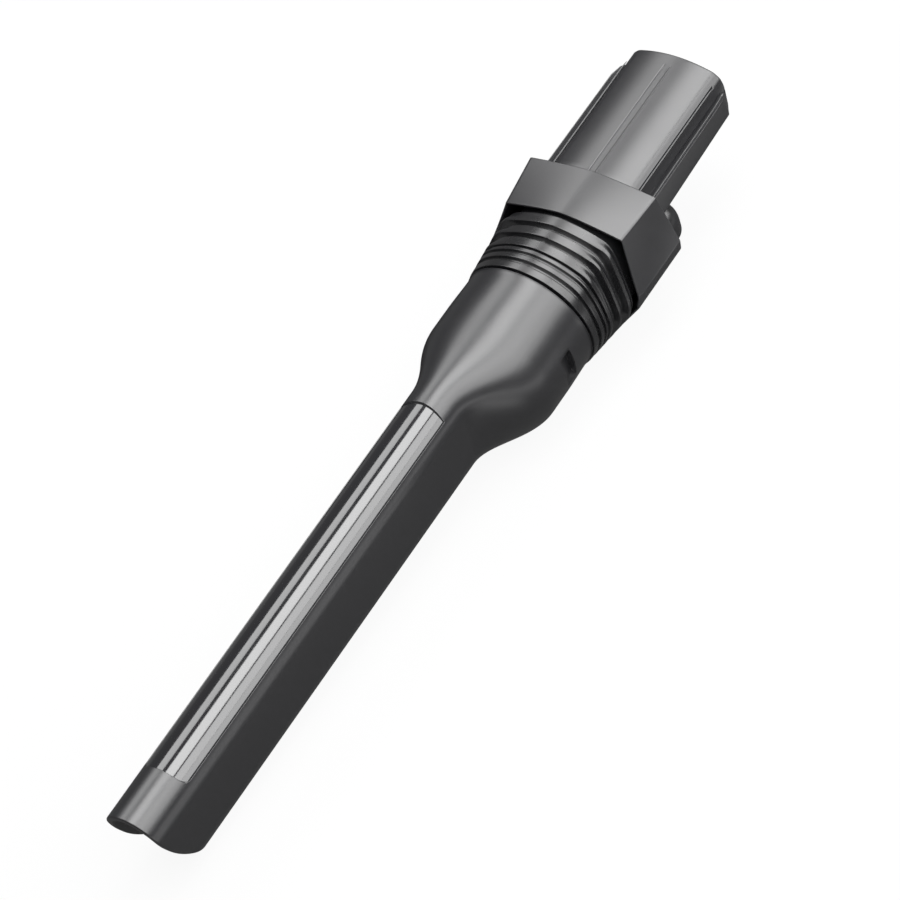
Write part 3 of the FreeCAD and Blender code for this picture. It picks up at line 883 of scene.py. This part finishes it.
def moulded(name, colour, ior, roughness, uneven, grain_size, grain_depth, grain_stretch=(1.0, 1.0, 1.0)):
    """Charcoal moulding: fine grain as bump, and roughness that wanders by uneven each way.

    grain_size and grain_depth are in millimetres, and grain_stretch lengthens the grain along x, y and z.
    """
    material = bpy.data.materials.new(name)
    material.use_nodes = True
    nodes, links = material.node_tree.nodes, material.node_tree.links
    shader = filled(nodes["Principled BSDF"], {"Base Color": (*colour, 1.0), "IOR": ior})
    place = nodes.new("ShaderNodeTexCoord").outputs["Object"]
    stretch = filled(nodes.new("ShaderNodeMapping"), {"Scale": [1.0 / s for s in grain_stretch]})
    links.new(place, stretch.inputs["Vector"])

    bump = filled(nodes.new("ShaderNodeBump"), {"Strength": grain_strength, "Distance": grain_depth * MM})
    grain = noise(material.node_tree, stretch.outputs["Vector"], grain_size, grain_detail)
    links.new(grain, bump.inputs["Height"])
    links.new(bump.outputs["Normal"], shader.inputs["Normal"])

    gloss = filled(nodes.new("ShaderNodeMapRange"), {
        "From Min": cloud_low, "From Max": cloud_high,
        "To Min": roughness - uneven, "To Max": roughness + uneven})
    cloud = noise(material.node_tree, place, cloud_size, cloud_detail)
    links.new(cloud, gloss.inputs["Value"])
    links.new(gloss.outputs["Result"], shader.inputs["Roughness"])
    print(name, "roughness", roughness, "grain", grain_size, "mm")
    return material, shader


# %% [markdown]
# The trim alone gets a clear coat over its polish. A high refractive index makes the dark faces mirror the
# softboxes as brightly as the real ones do. The solids that the pieces stand for get the same finishes.

# %% Four finishes
charcoal = (0.010, 0.010, 0.012)
body_satin, _ = moulded("body_satin", charcoal, ior=2.1, roughness=0.32, uneven=0.015,
                        grain_size=0.35, grain_depth=0.003)
trim_gloss, shader = moulded("trim_gloss", charcoal, ior=2.1, roughness=0.12, uneven=0.01,
                             grain_size=0.8, grain_depth=0.001)
filled(shader, {"Coat Weight": 1.0, "Coat Roughness": 0.08})
sleeve_rubber, _ = moulded("sleeve_rubber", (0.009, 0.009, 0.010), ior=2.0, roughness=0.28, uneven=0.04,
                           grain_size=0.5, grain_depth=0.006, grain_stretch=(0.5, 5.0, 5.0))
connector_satin, _ = moulded("connector_satin", (0.011, 0.011, 0.013), ior=2.1, roughness=0.32, uneven=0.015,
                             grain_size=0.3, grain_depth=0.003)

finishes = {"nozzle_body": (body_satin, [nozzle_shell]), "trim_strip": (trim_gloss, [trim_inlay]),
            "ribbed_sleeve": (sleeve_rubber, [sleeve_skin]),
            "connector": (connector_satin, [spigot_barrel, collar, tongue, stem] + crown_ribs)}
for node, (material, pieces) in finishes.items():
    for made in pieces:
        made.data.materials.append(material)
    frame["nodes"][node].data.materials.clear()
    frame["nodes"][node].data.materials.append(material)
print("finishes:", {node: material.name for node, (material, pieces) in finishes.items()})

# %% [markdown]
# ## Camera
# The picture is taken with a long lens from above the mouth's side. The camera is placed by two turns about
# the seam, a distance and a roll, and the seam's place in the picture is set by two small offsets, along
# and across the tool as it is seen. Turns keep the camera on its aim while the distance is tried out.

# %% Camera
turn, tilt, roll = np.radians([25.916, 32.0, 54.761])
camera_distance = 1398.8635
offset_along, offset_across = 46.24258, -3.2
focal_pixels, picture_pixels, sensor_mm = 4660.006, 900.0, 36.0

toward = np.array([-np.sin(turn), -np.cos(turn) * np.sin(tilt), np.cos(turn) * np.cos(tilt)])
along_tool = np.array([np.cos(turn), -np.sin(turn) * np.sin(tilt), np.sin(turn) * np.cos(tilt)])
across_tool = np.array([0.0, -np.cos(tilt), -np.sin(tilt)])
right = np.cos(roll) * along_tool + np.sin(roll) * across_tool
up = np.sin(roll) * along_tool - np.cos(roll) * across_tool
place = np.array([seam_x, 0.0, 0.0]) - offset_along * along_tool - offset_across * across_tool
place = (place + camera_distance * toward) * MM


def set_pose(thing, x_axis, y_axis, z_axis, at):
    """Places a camera or lamp by its three axes and its place, the four columns of its matrix."""
    columns = np.column_stack([x_axis, y_axis, z_axis, at])
    thing.matrix_world = Matrix(columns.tolist() + [[0.0, 0.0, 0.0, 1.0]])


camera = bpy.data.objects.new("camera", bpy.data.cameras.new("camera"))
camera.data.lens = focal_pixels * sensor_mm / picture_pixels
camera.data.sensor_width = sensor_mm
camera.data.clip_start, camera.data.clip_end = 0.05, 20.0
bpy.context.scene.collection.objects.link(camera)
set_pose(camera, right, up, toward, place)
bpy.context.scene.camera = camera
print("camera at", place.round(3), "m, lens", round(camera.data.lens, 1), "mm")

# %% [markdown]
# ## Light
# Long softboxes lie parallel to the tool, so each one shows as a straight band along every round edge. Each
# is set by the angle at which it stands over the tool, measured from straight up towards the camera's side,
# and by how wide it looks from there.

# %% Softboxes
softbox_distance = 700.0
softbox_length = 1500.0
softbox_centre = np.array([300.0, 0.0, 0.0])


def softbox(name, angle, width, brightness):
    """Rectangular lamp parallel to the tool, at an angle in degrees over it, and so many degrees wide.

    Its width is 2 * distance * tan(width / 2), and its power is pi * brightness * area.
    """
    away = np.array([0.0, -np.sin(np.radians(angle)), np.cos(np.radians(angle))])
    lamp = bpy.data.lights.new(name, "AREA")
    lamp.shape = "RECTANGLE"
    lamp.size = softbox_length * MM
    lamp.size_y = 2.0 * softbox_distance * np.tan(np.radians(width / 2.0)) * MM
    lamp.energy = brightness * np.pi * lamp.size * lamp.size_y
    placed = bpy.data.objects.new(name, lamp)
    bpy.context.scene.collection.objects.link(placed)
    side = np.array([1.0, 0.0, 0.0])
    set_pose(placed, side, np.cross(away, side), away, (softbox_centre + softbox_distance * away) * MM)
    placed.visible_camera = False
    print(name, "at", angle, "degrees,", round(lamp.energy, 2), "W")


softbox("softbox_back", angle=-38.0, width=24.0, brightness=2.2)
softbox("softbox_top", angle=1.5, width=29.0, brightness=3.8)
softbox("softbox_front_high", angle=32.5, width=24.0, brightness=2.75)
softbox("softbox_front_low", angle=55.5, width=21.0, brightness=2.25)

# %% [markdown]
# The background is white, and that comes from its own colour and not from more light: rays from the camera
# and mirrored rays see white, and all other light sees a grey. The world comes first, and then the floor.

# %% White background
world_grey = 0.2


def set_surface(tree, shader, output_kind="ShaderNodeOutputMaterial"):
    """Joins a shader to the surface of a material or of the world."""
    output = tree.nodes.new(output_kind)
    tree.links.new(shader, output.inputs["Surface"])


def white_seen(tree, shader_kind, grey, share):
    """Shader that is plain white where it is looked at, by share, and a grey to other light."""
    nodes, links = tree.nodes, tree.links
    path = nodes.new("ShaderNodeLightPath")
    looked_at = path.outputs["Is Camera Ray"]
    for ray in ("Is Glossy Ray", "Is Transmission Ray"):
        either = nodes.new("ShaderNodeMath")
        either.operation = "MAXIMUM"
        links.new(looked_at, either.inputs[0])
        links.new(path.outputs[ray], either.inputs[1])
        looked_at = either.outputs[0]
    scaled = nodes.new("ShaderNodeMath")
    scaled.operation = "MULTIPLY"
    scaled.inputs[1].default_value = share
    links.new(looked_at, scaled.inputs[0])
    base = filled(nodes.new(shader_kind), {"Color": (grey, grey, grey, 1.0)})
    white_kind = "ShaderNodeBackground" if shader_kind == "ShaderNodeBackground" else "ShaderNodeEmission"
    white = filled(nodes.new(white_kind), {"Color": (1.0, 1.0, 1.0, 1.0)})
    mix = nodes.new("ShaderNodeMixShader")
    links.new(scaled.outputs[0], mix.inputs["Fac"])
    links.new(base.outputs[0], mix.inputs[1])
    links.new(white.outputs[0], mix.inputs[2])
    return mix.outputs[0]


world = bpy.data.worlds.new("studio")
bpy.context.scene.world = world
world.use_nodes = True
world.node_tree.nodes.clear()
seen = white_seen(world.node_tree, "ShaderNodeBackground", world_grey, 1.0)
set_surface(world.node_tree, seen, "ShaderNodeOutputWorld")
print("world:", len(world.node_tree.nodes), "nodes")

# %% [markdown]
# The floor lies against the tool as it would rest: on the first rib and on the underside of the nozzle near
# the mouth. So it is tilted to the tool's axis, and what stands on it is placed along it, across it and by
# its height over it.

# %% Floor
floor_half = 6000.0
floor_gap = 0.05
floor_grey, floor_white_share = 0.7, 0.92
one_face = [[0, 1, 2, 3]]
rest_near = np.array([seam_x + 3.0, 0.0, sleeve_low[2]])
rest_far = np.array([tip_x + 24.0, 0.0, nozzle_foot_z])
floor_along = (rest_near - rest_far) / np.linalg.norm(rest_near - rest_far)
floor_across = np.array([0.0, 1.0, 0.0])
floor_up = np.cross(floor_along, floor_across)
floor_middle = rest_near - floor_gap * floor_up


def floor_corners(start_x, end_x, low_y, high_y, lift):
    """Corners of a rectangle parallel to the floor, counted from where the sleeve rests, lifted off it."""
    corners = np.array([[start_x, low_y], [end_x, low_y], [end_x, high_y], [start_x, high_y]])
    return floor_middle + lift * floor_up + corners[:, :1] * floor_along + corners[:, 1:] * floor_across


def stage_mesh(name, vertices, faces):
    """Mesh that belongs to the stage and not to the tool, with an empty material to be filled."""
    mesh = bpy.data.meshes.new(name)
    mesh.from_pydata((vertices * MM).tolist(), [], faces)
    made = bpy.data.objects.new(name, mesh)
    bpy.context.scene.collection.objects.link(made)
    material = bpy.data.materials.new(name + "_stage_shader")
    material.use_nodes = True
    material.node_tree.nodes.clear()
    mesh.materials.append(material)
    return made, material.node_tree


corners = floor_corners(-floor_half, floor_half, -floor_half, floor_half, 0.0)
floor, tree = stage_mesh("floor", corners, one_face)
set_surface(tree, white_seen(tree, "ShaderNodeBsdfDiffuse", floor_grey, floor_white_share))
print(floor.name, "tilted by", np.degrees(np.arcsin(floor_along[2])).round(2), "degrees")

# %% [markdown]
# A dark product is shot with black cards round it, so that only the softboxes show in its gloss. Here a
# dimly glowing tent paints that dark reflection: it is a half pipe over the whole scene, closed at both ends
# and along the floor. It shows in reflections alone, and neither shades the scene nor hides it.

# %% Black tent, a painted dark reflection
tent_radius = 1100.0
tent_start_x, tent_end_x = -1500.0, 1900.0
tent_lift = 0.03
tent_columns = 41
tent_brightness = 0.1


def reflection_card(name, vertices, faces, brightness):
    """Painted reflection: a stage mesh that glows evenly at a brightness, where 1 is white, seen in
    reflections alone.
    """
    card, tree = stage_mesh(name, vertices, faces)
    for ray in ("visible_camera", "visible_diffuse", "visible_transmission", "visible_shadow"):
        setattr(card, ray, False)
    glow = filled(tree.nodes.new("ShaderNodeEmission"), {"Color": (brightness, brightness, brightness, 1.0)})
    set_surface(tree, glow.outputs[0])
    print(name, "of brightness", brightness)


turn = np.linspace(-np.pi / 2.0, np.pi / 2.0, tent_columns)
arch = tent_radius * np.stack([0.0 * turn, np.sin(turn), np.cos(turn)], axis=-1)
rings = []
for station in (tent_start_x, tent_end_x):
    floor_z = floor_middle[2] + (station - floor_middle[0]) * floor_along[2] / floor_along[0]
    rings.append(arch + np.array([station, 0.0, floor_z + tent_lift]))
index = np.arange(2 * tent_columns).reshape(2, tent_columns)
sides = np.stack([index[0], index[1], np.roll(index[1], -1), np.roll(index[0], -1)], axis=-1)
# The tent glows dimly and only in reflections: it paints the tool's gloss dark.
reflection_card("painted_dark_reflection_tent", np.concatenate(rings), sides.tolist() + index.tolist(), tent_brightness)

# %% [markdown]
# The flat sides of the tool mirror the floor. What they mirror is painted there with glowing cards, seen in
# reflections alone. A large dark card lies on the floor, and smaller ones on that: grey and white ones paint
# the reflected soft light on the nozzle's side, the shoulder and the collar, and a black one behind the neck
# paints its far edge dark. They lie at fixed places, and so belong to the stage.

# %% Painted reflections: glowing cards on the floor
large_card_lift, small_card_lift = 0.06, 0.09

# Start and end along the tool, low and high edge across it, lift and brightness.
cards = {
    "painted_reflection_under": (-1400.0, 1400.0, -1000.0, 1000.0, large_card_lift, 0.15),
    "painted_reflection_back": (-70.0, 30.0, 8.0, 90.0, small_card_lift, 0.03),
    "painted_reflection_collar": (45.0, 450.0, -82.0, -50.0, small_card_lift, 0.7),
    "painted_reflection_nozzle": (-330.0, -50.0, -90.0, -52.0, small_card_lift, 0.8),
    "painted_reflection_far": (-450.0, 48.0, -300.0, -122.0, small_card_lift, 1.05),
    "painted_reflection_neck": (48.0, 115.0, -330.0, -190.0, small_card_lift, 1.2),
}
# Each card glows only in reflections: a painted reflection on the tool.
for name, (start_x, end_x, low_y, high_y, lift, brightness) in cards.items():
    reflection_card(name, floor_corners(start_x, end_x, low_y, high_y, lift), one_face, brightness)

# %% [markdown]
# The last step keeps the colours as they are written.

# %% Finish
bpy.context.scene.view_settings.view_transform = "Standard"
